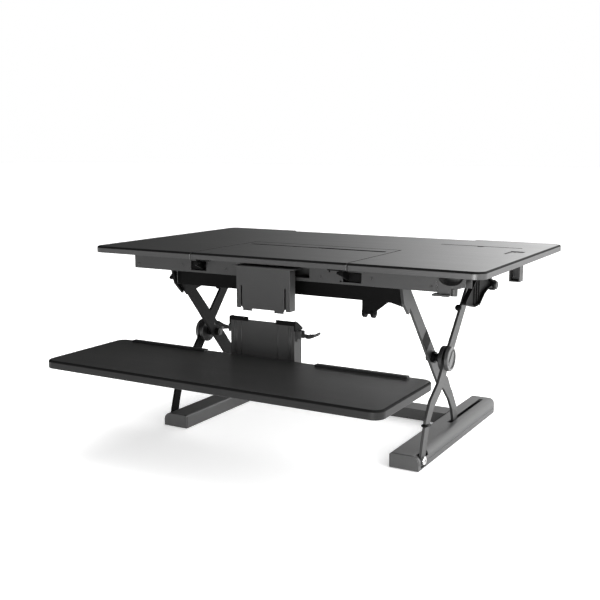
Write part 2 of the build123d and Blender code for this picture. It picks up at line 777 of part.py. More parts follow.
def lower_glide(side):
    """The glide inside the foot, under the slot."""
    inner_height = FOOT_H - 2 * FOOT_WALL
    middle = PAD_T + FOOT_H / 2
    body = block(
        INNER_X - GLIDE_T - 0.7,
        INNER_X - 0.7,
        INNER_LOW_Y - GLIDE_L / 2,
        INNER_LOW_Y + GLIDE_L / 2,
        middle - inner_height / 2 + RAIL_GAP,
        middle + inner_height / 2 - RAIL_GAP,
    )
    body = fillet(body.edges().filter_by(Axis.X), 4)
    axle = rod_x(INNER_X - 2, INNER_X + LEG_T + 1.5, INNER_LOW_Y, LOW_PIVOT_Z, PIVOT_R)
    nut = rod_x(INNER_X + LEG_T + 1.5, INNER_X + LEG_T + 5, INNER_LOW_Y, LOW_PIVOT_Z, 9)
    return mirrored(side, body + axle + nut)


TOP_GLIDE_X = OUTER_X + LEG_T + 1.2


def upper_axle():
    """The tube between the outer legs' tops, with a journal at each end."""
    tube = rod_x(-OUTER_X + 0.7, OUTER_X - 0.7, OUTER_TOP_Y, TOP_PIVOT_Z, 9)
    journal = rod_x(
        -TOP_GLIDE_X - GLIDE_T, TOP_GLIDE_X + GLIDE_T, OUTER_TOP_Y, TOP_PIVOT_Z, PIVOT_R
    )
    return tube + journal


def upper_glide(side):
    return glide(side, TOP_GLIDE_X, OUTER_TOP_Y, TOP_PIVOT_Z, RAIL_H - 2 * RAIL_WALL - 2 * RAIL_GAP)


def slide_rail(side):
    """The channel under the desktop, open towards the leg, that carries the upper glide."""
    y0, y1 = OUTER_TOP_Y - 24, OUTER_TOP_Y + 168
    z1 = TOP_PIVOT_Z + RAIL_H / 2
    z0 = z1 - RAIL_H
    x0, x1 = TOP_GLIDE_X - 0.6, TOP_GLIDE_X + GLIDE_T + 0.6 + RAIL_WALL
    rail = block(x0, x1, y0, y1, z0, DESK_UNDER)
    rail -= block(x0 - 1, x1 - RAIL_WALL, y0 - 1, y1 + 1, z0 + RAIL_WALL, z1 - RAIL_WALL)
    return mirrored(side, rail)


def top_pivot_bracket(side):
    """The clevis ear under the desktop that the inner leg's top turns in."""
    x0 = INNER_TOP_X + LEG_T + 0.8
    ear = side_plate(
        x0,
        x0 + 4,
        [
            (INNER_TOP_Y - 12, TOP_PIVOT_Z - 12),
            (INNER_TOP_Y + 12, TOP_PIVOT_Z - 12),
            (INNER_TOP_Y + 20, DESK_UNDER),
            (INNER_TOP_Y - 20, DESK_UNDER),
        ],
    )
    flange = block(x0, x0 + 22, INNER_TOP_Y - 20, INNER_TOP_Y + 20, DESK_UNDER - 3, DESK_UNDER)
    pin = rod_x(INNER_TOP_X - 4, x0 + 4, INNER_TOP_Y, TOP_PIVOT_Z, PIVOT_R)
    clip = rod_x(INNER_TOP_X - 4, INNER_TOP_X - 0.8, INNER_TOP_Y, TOP_PIVOT_Z, 9)
    return mirrored(side, ear + flange + pin + clip)


# ---------------------------------------------------------------- gas struts


def strut_cylinder(side):
    y0, y1 = STRUT_BEAM_Y + 10, STRUT_BODY_END
    body = rod_y(y0 + 4, y1, side * STRUT_X, TOP_PIVOT_Z, STRUT_R)
    neck = rod_y(y0, y0 + 4, side * STRUT_X, TOP_PIVOT_Z, 6)
    bore = rod_y(y0 + 10, y1 - 8, side * STRUT_X, TOP_PIVOT_Z, STRUT_R - 1.5)
    gland = rod_y(y1 - 9, y1 + 1, side * STRUT_X, TOP_PIVOT_Z, 4 + RUNNING)
    return body + neck - bore - gland


def strut_rod(side):
    """The rod and piston: pulled out as the desktop comes down."""
    y0 = STRUT_BEAM_Y + 24
    rod = rod_y(y0, OUTER_TOP_Y - 10, side * STRUT_X, TOP_PIVOT_Z, 4)
    piston = rod_y(y0, y0 + 6, side * STRUT_X, TOP_PIVOT_Z, STRUT_R - 1.6)
    eye = rod_x(side * STRUT_X - 6, side * STRUT_X + 6, OUTER_TOP_Y, TOP_PIVOT_Z, 13)
    hole = rod_x(side * STRUT_X - 7, side * STRUT_X + 7, OUTER_TOP_Y, TOP_PIVOT_Z, 9)
    return rod + piston + eye - hole


# ---------------------------------------------------------------- handles


def release_handle(side):
    """A moulded paddle with a rim round its face, on an arm that bends back to its pivot."""
    y, z = HANDLE_PIVOT_Y, HANDLE_PIVOT_Z
    outline = [
        (y - 194, z - 16),
        (y - 116, z + 32),
        (y - 50, z + 26),
        (y - 8, z + 12),
        (y - 4, z - 8),
        (y - 24, z - 1),
        (y - 47, z - 4),
        (y - 68, z - 11),
        (y - 97, z - 30),
        (y - 130, z - 31),
    ]
    x0 = HANDLE_X - HANDLE_T / 2
    x1 = x0 + HANDLE_T
    paddle = side_plate(x0, x1, outline, 4)
    paddle -= side_plate(x0 + 3, x1 + 1, outline, 4, HANDLE_RIM)
    paddle += rod_x(x0, x1, y, z, 12)
    for lean in (-90, -105, -120):
        rib = [(y + lean, z - 29), (y + lean + 2, z - 29), (y + lean + 2, z + 28), (y + lean, z + 28)]
        paddle += side_plate(x0, x0 + 5, rib)
    paddle -= rod_x(x0 - 1, x1 + 1, y, z, 4 + RUNNING)
    return mirrored(side, paddle)


def handle_bracket(side):
    """The ear under the desktop and the pin that the handle turns on."""
    y, z = HANDLE_PIVOT_Y, HANDLE_PIVOT_Z
    x1 = HANDLE_X - HANDLE_T / 2 - 0.8
    ear = side_plate(
        x1 - 3,
        x1,
        [(y - 10, z - 10), (y + 10, z - 10), (y + 18, DESK_UNDER), (y - 18, DESK_UNDER)],
    )
    flange = block(x1 - 22, x1, y - 18, y + 18, DESK_UNDER - 3, DESK_UNDER)
    pin = rod_x(x1 - 3, HANDLE_X + HANDLE_T / 2 + 1, y, z, 4)
    head = rod_x(HANDLE_X + HANDLE_T / 2 + 0.8, HANDLE_X + HANDLE_T / 2 + 4, y, z, 8)
    return mirrored(side, ear + flange + pin + head)


# ---------------------------------------------------------------- tray hanger


def tray_hanger():
    """The folded channel fixed in front of the apron that the tray's dock slides onto."""
    y0, y1 = HANGER_Y, HANGER_Y + HANGER_DEPTH
    plate = block(-HANGER_HALF, HANGER_HALF, y0, y0 + SHEET, HANGER_BOTTOM, 414)
    shell = plate
    for side in SIDES.values():
        shell += block(
            side * (HANGER_HALF - SHEET), side * HANGER_HALF, y0, y1, HANGER_BOTTOM, 414
        )
        shell += block(
            side * (HANGER_HALF - 38), side * HANGER_HALF, y1 - SHEET, y1, HANGER_BOTTOM, 414
        )
        shell -= block(
            side * 54 - 2, side * 54 + 2, y0 - 1, y0 + SHEET + 1, HANGER_BOTTOM - 1, 372
        )
        shell += block(
            side * 28, side * 50, y0, y0 + SHEET, HANGER_BOTTOM - 5, HANGER_BOTTOM
        )
    roof = block(-HANGER_HALF - 8, HANGER_HALF + 8, y0, APRON_Y, 411.5, 414)
    tab = block(-HANGER_HALF - 8, -HANGER_HALF + 3, APRON_Y - SHEET, APRON_Y, 390, 414)
    other = block(HANGER_HALF - 3, HANGER_HALF + 8, APRON_Y - SHEET, APRON_Y, 411.5, 417)
    return shell + roof + tab + other


# ---------------------------------------------------------------- tray


def keyboard_tray():
    tray = board(TRAY_W, TRAY_FRONT, TRAY_REAR, TRAY_TOP, TRAY_T, TRAY_CORNER_R)
    tray = ease_outer_edges(tray, TRAY_TOP, 5, lambda e: False)
    tray = ease_outer_edges(tray, TRAY_TOP - TRAY_T, 2, lambda e: False)
    notch = block(
        -DOCK_HALF - 1.5, DOCK_HALF + 1.5, DOCK_Y - 0.5, TRAY_REAR + 5,
        TRAY_TOP - TRAY_T - 1, TRAY_TOP + 1,
    )
    return tray - notch


def tray_dock():
    """The folded bracket on the tray: a channel open at the top and the back."""
    y0, y1 = DOCK_Y, DOCK_Y + DOCK_DEPTH
    z0 = TRAY_TOP - TRAY_T - SHEET
    body = block(-DOCK_HALF, DOCK_HALF, y0, y0 + SHEET, z0, DOCK_TOP)
    for side in SIDES.values():
        body += block(side * (DOCK_HALF - SHEET), side * DOCK_HALF, y0, y1, z0, DOCK_TOP)
        body -= rod_x(
            side * (DOCK_HALF - 4), side * (DOCK_HALF + 1), LATCH_Y, LATCH_Z, 4
        )
    body += block(-DOCK_HALF, DOCK_HALF, y0 - 78, y1, z0, z0 + SHEET)
    return body - dock_slope()


def dock_slope():
    """What the dock's flanks lose at their top, where they fall away to the rear."""
    y0, y1, top = DOCK_Y + 8, DOCK_Y + DOCK_DEPTH + 1, DOCK_TOP + 7
    return side_plate(-100, 100, [(y0, top), (y1, top), (y1, DOCK_TOP - 11), (y0, top - 2)])


def dock_guide(side):
    """The plastic cap on each top corner of the dock that leads the hanger in."""
    z0, z1 = DOCK_TOP, DOCK_TOP + 6
    y0, y1 = DOCK_Y, DOCK_Y + DOCK_DEPTH
    x0, x1 = DOCK_HALF - 44, DOCK_HALF + 3
    cap = block(x0, x1, y0 - 1.5, y0 + SHEET, z0, z1)
    cap += block(x0, x1, y0 - 1.5, y0, z0 - 3, z0)
    cap += block(DOCK_HALF - SHEET, x1, y0 - 1.5, y1, z0, z1)
    cap += block(DOCK_HALF, x1, y0 - 1.5, y1, z0 - 14, z1)
    outer = [
        e
        for e in cap.edges().filter_by(Axis.Y)
        if abs(e.center().Z - z1) < 0.1 and abs(e.center().X - x1) < 0.1
    ]
    cap = fillet(outer, 4.5)
    return mirrored(side, cap - dock_slope())


def latch_housing(side):
    """The block on the dock's flank that holds the latch's pin."""
    x0 = DOCK_HALF
    body = block(x0, x0 + 11, LATCH_Y - 9, LATCH_Y - 5, LATCH_Z - 12, LATCH_Z + 4)
    body += block(x0, x0 + 11, LATCH_Y + 5, LATCH_Y + 9, LATCH_Z - 12, LATCH_Z + 4)
    body += block(x0, x0 + 3, LATCH_Y - 9, LATCH_Y + 9, LATCH_Z - 18, LATCH_Z - 10)
    pin = rod_y(LATCH_Y - 9, LATCH_Y + 9, x0 + 7, LATCH_Z - 4, 2)
    return mirrored(side, body + pin)


def tray_latch(side):
    """The finger lever that clamps the dock to the hanger, curved up at its tip."""
    x0, z = DOCK_HALF + 7, LATCH_Z - 4
    outline = Spline((x0, z + 2.8), (x0 + 12, z + 1), (x0 + 26, z + 1.5), (x0 + 42, z + 9))
    under = Spline((x0 + 43, z + 6), (x0 + 28, z - 4), (x0 + 13, z - 5), (x0, z - 2.8))
    loop = outline + Line(outline @ 1, under @ 0) + under + Line(under @ 1, outline @ 0)
    plane = Plane(origin=(0, LATCH_Y + LATCH_PAD_W / 2, 0), x_dir=(1, 0, 0), z_dir=(0, -1, 0))
    lever = extrude(plane * make_face(loop), LATCH_PAD_W)
    stem = block(x0 - 4, x0 + 20, LATCH_Y - 4.6, LATCH_Y + 4.6, z - 20, z + 20)
    pad = extrude(
        Pos(x0 + 29, LATCH_Y, z - 20) * RectangleRounded(30, LATCH_PAD_W, LATCH_PAD_W / 2 - 2), 40
    )
    lever = lever & (stem + pad)
    lever += rod_y(LATCH_Y - 4.6, LATCH_Y + 4.6, x0, z, 3.6)
    lever -= rod_y(LATCH_Y - 5, LATCH_Y + 5, x0, z, 2 + RUNNING)
    return mirrored(side, lever)


STRIP_X = (136.0, 340.0)


def tray_stop_strip(side):
    """The raised strip along the tray's rear edge that stops the keyboard."""
    strip = block(*STRIP_X, TRAY_REAR - 22, TRAY_REAR - 9, TRAY_TOP, TRAY_TOP + 5)
    strip = fillet([e for e in strip.edges() if e.center().Z > TRAY_TOP + 1], 1.5)
    return mirrored(side, strip)


def screws(points, z, r):
    """Pan-head screws driven up from below, as a group of separate solids."""
    group = []
    for x, y in points:
        head = rod_z(z - 2, z, x, y, r)
        rim = [e for e in head.edges() if abs(e.center().Z - z + 2) < 1e-3]
        group.append(fillet(rim, 0.8) - rod_z(z - 3, z - 1, x, y, r / 3))
    return Compound(group)


def dock_screws():
    z = TRAY_TOP - TRAY_T - SHEET
    return screws([(x, DOCK_Y - y) for x in (-60, 0, 60) for y in (20, 60)], z, 5)


def underside_screws():
    """The screws through each part's foot plate under the desktop."""
    points = []
    for side in SIDES.values():
        points += [
            (side * (INNER_TOP_X + LEG_T + 16), INNER_TOP_Y + 12),
            (side * (INNER_TOP_X + LEG_T + 16), INNER_TOP_Y - 12),
            (side * (HANDLE_X - HANDLE_T / 2 - 15), HANDLE_PIVOT_Y + 10),
            (side * (HANDLE_X - HANDLE_T / 2 - 15), HANDLE_PIVOT_Y - 10),
            (side * (PANEL_W / 2 + 24), STRUT_BEAM_Y + 17),
            (side * (PANEL_W / 2 + 24), STRUT_BEAM_Y - 17),
        ]
    return screws(points, DESK_UNDER - 3, 4)


def pair(make):
    """Both sides' copies of a part, as one node."""
    return Compound([solid for side in SIDES.values() for solid in make(side).solids()])


def foot_caps(side):
    return Compound([foot_front_cap(side), foot_rear_cap(side)])


def main():
    os.makedirs("parts", exist_ok=True)
    nodes = {
        "main_desktop": main_desktop(),
        "inset_cover": inset_cover(),
        "tilting_panel": tilting_panel(),
        "panel_hinge_leaves": pair(panel_hinge_leaf),
        "panel_hinge_bases": pair(panel_hinge_base),
        "panel_rest_strips": pair(panel_rest_strip),
        "front_apron": front_apron(),
        "apron_end_bracket": apron_end_bracket(),
        "strut_beam": strut_beam(),
        "cable_brackets": pair(cable_bracket),
        "underside_screws": underside_screws(),
        "base_crossbar": base_crossbar(),
        "foot_pads": pair(foot_pads),
        "hub_sleeves": pair(hub_sleeve),
        "inner_leg_crossbar": inner_top_crossbar(),
        "leg_gussets": pair(leg_gusset),
        "damper_bracket": damper_bracket(),
        "upper_axle": upper_axle(),
        "tray_hanger": tray_hanger(),
        "keyboard_tray": keyboard_tray(),
        "tray_dock": tray_dock(),
        "dock_guides": pair(dock_guide),
        "latch_housings": pair(latch_housing),
        "tray_stop_strips": pair(tray_stop_strip),
        "tray_dock_screws": dock_screws(),
    }
    sided = {
        "foot": foot,
        "foot_caps": foot_caps,
        "lower_pivot_bolt": lower_pivot_bolt,
        "outer_leg": outer_leg,
        "inner_leg": inner_leg,
        "hub_pin": hub_pin,
        "hub_inner_disc": hub_inner_disc,
        "hub_cap": hub_cap,
        "lower_glide": lower_glide,
        "upper_glide": upper_glide,
        "slide_rail": slide_rail,
        "top_pivot_bracket": top_pivot_bracket,
        "strut_cylinder": strut_cylinder,
        "strut_rod": strut_rod,
        "release_handle": release_handle,
        "handle_bracket": handle_bracket,
        "tray_latch": tray_latch,
    }
    for side_name, side in SIDES.items():
        for name, make in sided.items():
            nodes[f"{side_name}_{name}"] = make(side)
    for name, shape in nodes.items():
        shape.label = name
        export_step(shape, f"parts/{name}.step")


main()
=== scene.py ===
"""Looks of the standing desk converter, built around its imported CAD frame. Metres, CAD frame."""

import json
import math

import bpy
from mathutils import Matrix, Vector


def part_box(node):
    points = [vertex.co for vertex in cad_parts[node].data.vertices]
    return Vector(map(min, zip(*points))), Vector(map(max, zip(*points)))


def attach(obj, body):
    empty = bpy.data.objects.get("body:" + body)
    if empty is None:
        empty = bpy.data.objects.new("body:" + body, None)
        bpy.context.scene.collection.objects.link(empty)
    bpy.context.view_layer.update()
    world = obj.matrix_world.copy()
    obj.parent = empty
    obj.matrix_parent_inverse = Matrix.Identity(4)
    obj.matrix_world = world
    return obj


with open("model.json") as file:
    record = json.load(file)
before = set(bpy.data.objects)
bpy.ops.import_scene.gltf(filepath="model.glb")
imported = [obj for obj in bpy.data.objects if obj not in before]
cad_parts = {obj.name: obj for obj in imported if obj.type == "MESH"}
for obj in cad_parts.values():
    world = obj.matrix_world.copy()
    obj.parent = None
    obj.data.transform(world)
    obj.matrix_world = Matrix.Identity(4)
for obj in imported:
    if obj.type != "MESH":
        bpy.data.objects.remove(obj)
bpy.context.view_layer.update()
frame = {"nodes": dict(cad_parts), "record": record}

MM = 0.001
NODES = frame["nodes"]
SIDES = {"left": -1, "right": 1}


# ------------------------------------------------------------------ node helpers


class Wiring:
    """A node tree that is wired up one node at a time."""

    def __init__(self, tree):
        self.tree = tree

    def add(self, kind, **settings):
        node = self.tree.nodes.new(kind)
        for key, value in settings.items():
            setattr(node, key, value)
        return node

    def link(self, source, target):
        self.tree.links.new(source, target)

    def ramp(self, value, low, high, start=0.0, end=1.0):
        """Maps value from low..high to start..end, held at both ends."""
        node = self.add("ShaderNodeMapRange", clamp=True)
        for key, number in (("From Min", low), ("From Max", high), ("To Min", start), ("To Max", end)):
            node.inputs[key].default_value = number
        self.link(value, node.inputs["Value"])
        return node.outputs["Result"]

    def maths(self, operation, first, second):
        """One operation on two values, each a number or another node's output, kept within 0 to 1."""
        node = self.add("ShaderNodeMath", operation=operation, use_clamp=True)
        for socket, value in zip(node.inputs, (first, second)):
            if isinstance(value, (int, float)):
                socket.default_value = value
            else:
                self.link(value, socket)
        return node.outputs[0]


class Material(Wiring):
    """A procedural material, drawn in the object's own coordinates."""

    def __init__(self, name, rough, metallic=0.0):
        self.material = bpy.data.materials.new(name)
        self.material.use_nodes = True
        super().__init__(self.material.node_tree)
        self.shader = self.tree.nodes["Principled BSDF"]
        self.shader.inputs["Metallic"].default_value = metallic
        self.shader.inputs["Roughness"].default_value = rough
        self.where = self.add("ShaderNodeTexCoord").outputs["Object"]

    def stretched(self, scale):
        """The object's own coordinates, scaled differently along each axis."""
        mapping = self.add("ShaderNodeMapping")
        mapping.inputs["Scale"].default_value = scale
        self.link(self.where, mapping.inputs["Vector"])
        return mapping.outputs["Vector"]

    def noise(self, scale, detail=2.0, roughness=0.5, where=None):
        node = self.add("ShaderNodeTexNoise")
        node.inputs["Scale"].default_value = scale
        node.inputs["Detail"].default_value = detail
        node.inputs["Roughness"].default_value = roughness
        self.link(where or self.where, node.inputs["Vector"])
        return node.outputs["Fac"]

    def cells(self, scale):
        node = self.add("ShaderNodeTexVoronoi")
        node.inputs["Scale"].default_value = scale
        self.link(self.where, node.inputs["Vector"])
        return node.outputs["Distance"]

    def blend(self, fac, first, second):
        """Mixes two colours, each a colour or another node's output."""
        node = self.add("ShaderNodeMix", data_type="RGBA")
        self.link(fac, node.inputs["Factor"])
        for socket, value in ((node.inputs[6], first), (node.inputs[7], second)):
            if isinstance(value, tuple):
                socket.default_value = (*value, 1.0)
            else:
                self.link(value, socket)
        return node.outputs[2]

    def soft_edges(self, radius):
        """Rounds the look of sharp edges. Gives the rounded normal and a mask of the edges."""
        bevel = self.add("ShaderNodeBevel", samples=6)
        bevel.inputs["Radius"].default_value = radius
        face = self.add("ShaderNodeNewGeometry").outputs["Normal"]
        dot = self.add("ShaderNodeVectorMath", operation="DOT_PRODUCT")
        self.link(bevel.outputs["Normal"], dot.inputs[0])
        self.link(face, dot.inputs[1])
        return bevel.outputs["Normal"], self.ramp(dot.outputs["Value"], 0.995, 0.90)

    def upward(self, none, full):
        """A mask of the faces that look up, from 0 to 1 as their world normal's Z goes from none to full."""
        parts = self.add("ShaderNodeSeparateXYZ")
        self.link(self.add("ShaderNodeNewGeometry").outputs["Normal"], parts.inputs[0])
        return self.ramp(parts.outputs["Z"], none, full)

    def leaning(self):
        """A mask of the faces between level and upright, which are the rounded rims of a board."""
        return self.maths("MULTIPLY", self.upward(0.12, 0.30), self.upward(0.985, 0.93))

    def bump(self, height, depth, normal=None):
        node = self.add("ShaderNodeBump")
        node.inputs["Distance"].default_value = depth
        self.link(height, node.inputs["Height"])
        if normal:
            self.link(normal, node.inputs["Normal"])
        return node.outputs["Normal"]

    def finish(self, colour=None, rough=None, normal=None):
        for value, socket in ((colour, "Base Color"), (rough, "Roughness"), (normal, "Normal")):
            if value is not None:
                self.link(value, self.shader.inputs[socket])
        return self.material


def grey(level, warmth=0.0):
    """A grey, with its red raised and its blue lowered by the warmth."""
    return (level * (1 + warmth), level, level * (1 - warmth))


# ------------------------------------------------------------------ materials


def laminate(name, edge_highlight_level, side_gloss):
    """Black satin laminate: a fine pebbled skin, faint wiping marks, sharp edges paled as a painted
    highlight, and dull rims painted darker as shade.
    """
    m = Material(name, 0.4)
    rounded, edge = m.soft_edges(0.6 * MM)
    rim = m.leaning()
    cloud = m.noise(5.0, 4.0, 0.55)
    wipe = m.noise(9.0, 5.0, 0.6, m.stretched((0.6, 3.5, 1.0)))
    colour = m.blend(m.ramp(cloud, 0.3, 0.7), grey(0.010), grey(0.013))
    # Painted highlight: the sharp edges are paled, as where light catches them.
    colour = m.blend(m.ramp(edge, 0.0, 1.0, 0.0, 0.35), colour, grey(edge_highlight_level))
    # Painted shade: the rounded rims, found from their world normal, are darkened.
    colour = m.blend(rim, colour, grey(0.004))
    rough = m.ramp(wipe, 0.3, 0.75, 0.37, 0.395)
    rough = m.maths("MAXIMUM", rough, m.ramp(rim, 0.0, 1.0, 0.0, 0.62))
    normal = m.bump(m.noise(450.0, 3.0), 0.03 * MM, rounded)
    normal = m.bump(m.cells(1500.0), 0.02 * MM, normal)
    side = m.maths("MULTIPLY", m.maths("SUBTRACT", 1.0, rim), m.upward(0.3, 0.1))
    top_gloss = m.ramp(m.upward(0.93, 0.985), 0.0, 1.0, 0.05, 0.5)
    gloss = m.maths("MAXIMUM", top_gloss, m.ramp(side, 0.0, 1.0, 0.05, side_gloss))
    m.link(gloss, m.shader.inputs["Specular IOR Level"])
    return m.finish(colour, rough, normal)


def powder_coat(name, level, gloss):
    """Fine-textured black powder coat, with burnished edges and a little dust in its grain."""
    m = Material(name, 0.5)
    rounded, edge = m.soft_edges(1.0 * MM)
    grain = m.noise(1100.0, 2.0, 0.6)
    cloud = m.noise(14.0, 4.0)
    worn = m.maths("MULTIPLY", edge, m.ramp(m.noise(60.0, 4.0, 0.7), 0.45, 0.7))
    colour = m.blend(m.ramp(cloud, 0.3, 0.7), grey(level * 0.85), grey(level * 1.15))
    colour = m.blend(m.ramp(grain, 0.55, 0.75, 0.0, 0.4), colour, grey(level * 2.2))
    colour = m.blend(m.ramp(worn, 0.0, 1.0, 0.0, 0.5), colour, grey(level * 4.0))
    rough = m.ramp(grain, 0.3, 0.7, 0.42, 0.55)
    normal = m.bump(grain, 0.06 * MM, rounded)
    m.shader.inputs["Specular IOR Level"].default_value = gloss
    return m.finish(colour, rough, normal)


def moulded_plastic(name, level, rough_low, rough_high, grain_depth):
    """Black moulded plastic with a spark-eroded grain and slightly polished edges."""
    m = Material(name, rough_low)
    rounded, edge = m.soft_edges(0.9 * MM)
    grain = m.cells(1300.0)
    cloud = m.noise(30.0, 3.0)
    colour = m.blend(m.ramp(cloud, 0.3, 0.7), grey(level * 0.85), grey(level * 1.15))
    colour = m.blend(m.ramp(edge, 0.0, 1.0, 0.0, 0.3), colour, grey(level * 2.2))
    rough = m.ramp(cloud, 0.3, 0.7, rough_low, rough_high)
    normal = m.bump(grain, grain_depth * MM, rounded)
    return m.finish(colour, rough, normal)


def rubber():
    """Soft black rubber: dull, with dusty high spots and a fine cross ribbing."""
    m = Material("rubber", 0.85)
    dust = m.noise(120.0, 5.0, 0.65)
    ribs = m.add("ShaderNodeTexWave", wave_type="BANDS", bands_direction="Y")
    ribs.inputs["Scale"].default_value = 110.0
    m.link(m.where, ribs.inputs["Vector"])
    colour = m.blend(m.ramp(dust, 0.5, 0.8, 0.0, 0.5), grey(0.014), grey(0.06, 0.05))
    normal = m.bump(ribs.outputs["Fac"], 0.15 * MM, m.bump(dust, 0.08 * MM))
    return m.finish(colour, m.ramp(dust, 0.3, 0.7, 0.75, 0.95), normal)


def bare_metal(name, level, rough_low, rough_high, along):
    """Plated or polished steel with fine drawing marks along one direction."""
    m = Material(name, rough_low, metallic=1.0)
    rounded, edge = m.soft_edges(0.4 * MM)
    marks = m.noise(260.0, 4.0, 0.7, m.stretched(along))
    haze = m.noise(45.0, 3.0)
    colour = m.blend(m.ramp(haze, 0.3, 0.7), grey(level * 0.88, 0.015), grey(level))
    colour = m.blend(m.ramp(edge, 0.0, 1.0, 0.0, 0.5), colour, grey(min(level * 1.2, 0.95)))
    normal = m.bump(marks, 0.01 * MM, rounded)
    return m.finish(colour, m.ramp(marks, 0.3, 0.7, rough_low, rough_high), normal)


def floor_paint():
    """Plain pale studio floor that glows a little, so that it meets the white backdrop unseen."""
    m = Material("studio_floor", 0.9)
    mottle = m.noise(1.5, 2.0)
    colour = m.blend(m.ramp(mottle, 0.3, 0.7), grey(0.90), grey(0.92))
    m.shader.inputs["Emission Color"].default_value = (1.0, 1.0, 1.0, 1.0)
    m.shader.inputs["Emission Strength"].default_value = 0.45
    return m.finish(colour)


FINISHES = {
    "laminate": laminate("laminate", 0.03, 0.75),
    "powder_coat": powder_coat("powder_coat", 0.013, 0.56),
    "black_plastic": moulded_plastic("black_plastic", 0.007, 0.40, 0.50, 0.03),
    "hub_plastic": moulded_plastic("hub_plastic", 0.045, 0.30, 0.38, 0.015),
    "rubber": rubber(),
    "nylon": moulded_plastic("nylon", 0.03, 0.45, 0.55, 0.01),
    "zinc": bare_metal("zinc", 0.62, 0.22, 0.34, (1.0, 6.0, 6.0)),
    "screw_black": bare_metal("screw_black", 0.05, 0.35, 0.5, (3.0, 3.0, 1.0)),
    "strut_black": moulded_plastic("strut_black", 0.012, 0.16, 0.24, 0.004),
    "strut_chrome": bare_metal("strut_chrome", 0.75, 0.07, 0.14, (8.0, 1.0, 8.0)),
}
# A shaded copy of the powder coat: painted shade on the nodes that stand in shadow, and a deeper black on
# small black parts.
BLACK_AND_PAINTED_SHADE = powder_coat("black_and_painted_shade", 0.0022, 0.06)
# Painted light: a paler copy of the powder coat, which makes the feet and their caps read as brightly lit.
PAINTED_LIGHT_COAT = powder_coat("painted_light_coat", 0.018, 0.75)
DARK_STEEL = bare_metal("dark_steel", 0.045, 0.35, 0.5, (1.0, 6.0, 6.0))
# The tray's copy has a weaker painted edge highlight and less gloss on its sides, so its front reads darker.
TRAY_LAMINATE = laminate("tray_laminate", 0.012, 0.12)

# Nodes that look paler, blacker or duller than the rest of their slot: the pale coat is painted light on the
# feet, and the dull black is painted shade on the crossbar, the gussets, the damper bracket and the left
# legs, and a deeper black on the other nodes listed with it.
OWN_FINISHES = (
    (BLACK_AND_PAINTED_SHADE, ("inner_leg_crossbar", "leg_gussets", "damper_bracket", "hub_sleeves", "dock_guides")),
    # The left legs take the shaded copy as painted shade, while the right legs keep the powder coat.
    (BLACK_AND_PAINTED_SHADE, ("panel_hinge_leaves", "panel_hinge_bases", "left_inner_leg", "left_outer_leg")),
    (BLACK_AND_PAINTED_SHADE, ("left_release_handle", "right_release_handle")),
    (PAINTED_LIGHT_COAT, ("left_foot", "right_foot", "left_foot_caps", "right_foot_caps")),
    (DARK_STEEL, ("left_hub_pin", "right_hub_pin")),
    (TRAY_LAMINATE, ("keyboard_tray",)),
)
NODE_FINISHES = {node: finish for finish, nodes in OWN_FINISHES for node in nodes}


def paint_frame():
    """Gives every CAD node its own finish, or the one its slot in the record names."""
    for part in frame["record"]["subparts"]:
        node = NODES[part["node"]]
        finish = NODE_FINISHES.get(part["node"], FINISHES[part["material_slot"]])
        node.data.materials.clear()
        node.data.materials.append(finish)


# ------------------------------------------------------------------ extra pieces


def in_scene(name, data):
    """A new object in the scene that holds the given data."""
    thing = bpy.data.objects.new(name, data)
    bpy.context.scene.collection.objects.link(thing)
    return thing


def new_piece(name, body, slot, shape, smooth=True, finish=None):
    """A piece made from (verts, faces) that rides on a body and wears its slot's finish or its own."""
    verts, faces = shape
    mesh = bpy.data.meshes.new(name)
    mesh.from_pydata([tuple(v) for v in verts], [], faces)
    mesh.validate()
    for polygon in mesh.polygons:
        polygon.use_smooth = smooth
    piece = in_scene(name, mesh)
    mesh.materials.append(finish or FINISHES[slot])
    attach(piece, body)


def corners(node):
    """The lowest and the highest corner of a CAD node's box."""
    return [Vector(corner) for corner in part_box(node)]


def centre(node):
    """The middle of a CAD node's box."""
    low, high = corners(node)
    return (low + high) / 2


def joined(parts):
    """Several (verts, faces) shapes as one."""
    verts, faces = [], []
    for part_verts, part_faces in parts:
        start = len(verts)
        verts += part_verts
        faces += [tuple(start + i for i in face) for face in part_faces]
    return verts, faces


def turned(profile, place, axis, turns=32):
    """A lathe shape: (radius, height) steps about an axis through a place."""
    across = Vector(axis).normalized()
    first = across.orthogonal().normalized()
    second = across.cross(first)
    verts, faces = [], []
    for radius, height in profile:
        for k in range(turns):
            angle = 2 * math.pi * k / turns
            spoke = first * math.cos(angle) + second * math.sin(angle)
            verts.append(Vector(place) + spoke * radius + across * height)
    for row in range(len(profile) - 1):
        for k in range(turns):
            a, b = row * turns + k, row * turns + (k + 1) % turns
            faces.append((a, b, b + turns, a + turns))
    faces.append(tuple(reversed(range(turns))))
    faces.append(tuple(range((len(profile) - 1) * turns, len(profile) * turns)))
    return verts, faces


# A direction that none of the swept paths follows
ANY_SLANT = Vector((0.31, 0.17, 0.93))


def swept(path, radius, sides=8):
    """A tube with closed ends along a path of points; its radius is a number or a function of the step."""
    path = [Vector(p) for p in path]
    last = len(path) - 1
    verts, faces = [], []
    for i, point in enumerate(path):
        ahead = (path[min(i + 1, last)] - path[max(i - 1, 0)]).normalized()
        first = ahead.cross(ANY_SLANT).normalized()
        second = ahead.cross(first)
        size = radius(i) if callable(radius) else radius
        for k in range(sides):
            angle = 2 * math.pi * k / sides
            verts.append(point + (first * math.cos(angle) + second * math.sin(angle)) * size)
    for i in range(last):
        for k in range(sides):
            a, b = i * sides + k, i * sides + (k + 1) % sides
            faces.append((a, b, b + sides, a + sides))
    faces.append(tuple(reversed(range(sides))))
    faces.append(tuple(range(last * sides, len(path) * sides)))
    return verts, faces


